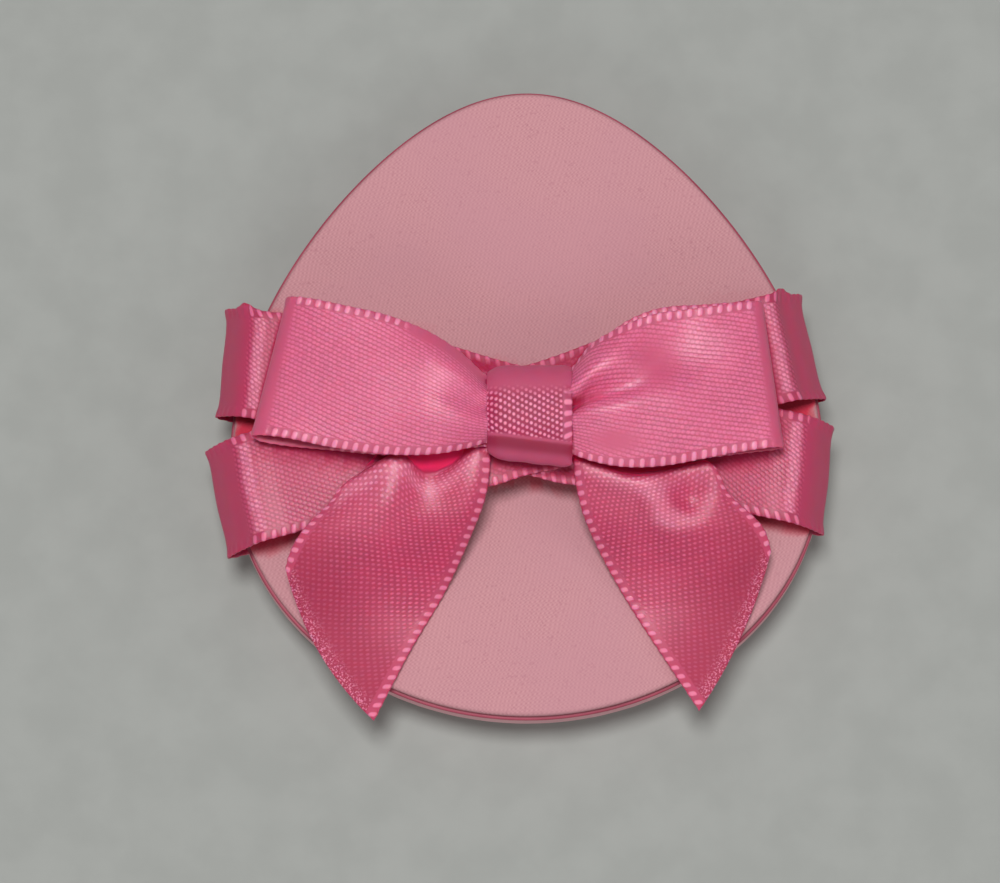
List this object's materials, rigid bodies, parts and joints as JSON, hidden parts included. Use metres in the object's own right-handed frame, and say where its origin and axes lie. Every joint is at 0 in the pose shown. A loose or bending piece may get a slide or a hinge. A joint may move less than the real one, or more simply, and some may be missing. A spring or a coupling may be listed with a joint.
{
  "type": "cushion puff",
  "caption": "Egg-shaped make-up cushion puff with a smooth applicator face, crossed ribbon finger bands and a satin bow with hanging tails.",
  "frame": {"origin": "centre of the flat applicator face, on the plane it rests on", "axes": "+Z out of the puff's back towards the bow, +Y towards the egg's narrow end, +X to the right as the bow is seen from above"},
  "size_m": [0.064, 0.0644, 0.0215],
  "materials": {
    "film": "matt",
    "foam": "open cell",
    "bond": "matt",
    "seam": "pressed edge",
    "cover": "fine plain weave",
    "satin": "satin",
    "thread": "twisted thread",
    "glue": "set hot-melt glue"
  },
  "bodies": {
    "puff": {"applicator_skin": "film", "foam_core": "foam", "bonding_sheet": "bond", "edge_seam": "seam", "back_cover": "cover", "finger_band_falling": "satin", "finger_band_rising": "satin", "bow_glue_pad": "glue", "bow_loops": "satin", "gather_thread": "thread", "knot_wrap": "satin"},
    "tail_left": {"bow_tail_left": "satin"},
    "tail_right": {"bow_tail_right": "satin"}
  },
  "joints": [
    {"name": "tail_left_lift", "type": "hinge", "parent": "puff", "child": "tail_left", "pos_m": [-0.01, -0.0089, 0.0158], "axis": [-1, 0, 0], "range_deg": [0, 75]},
    {"name": "tail_right_lift", "type": "hinge", "parent": "puff", "child": "tail_right", "pos_m": [0.0132, -0.0089, 0.015], "axis": [-1, 0, 0], "range_deg": [0, 75]}
  ]
}
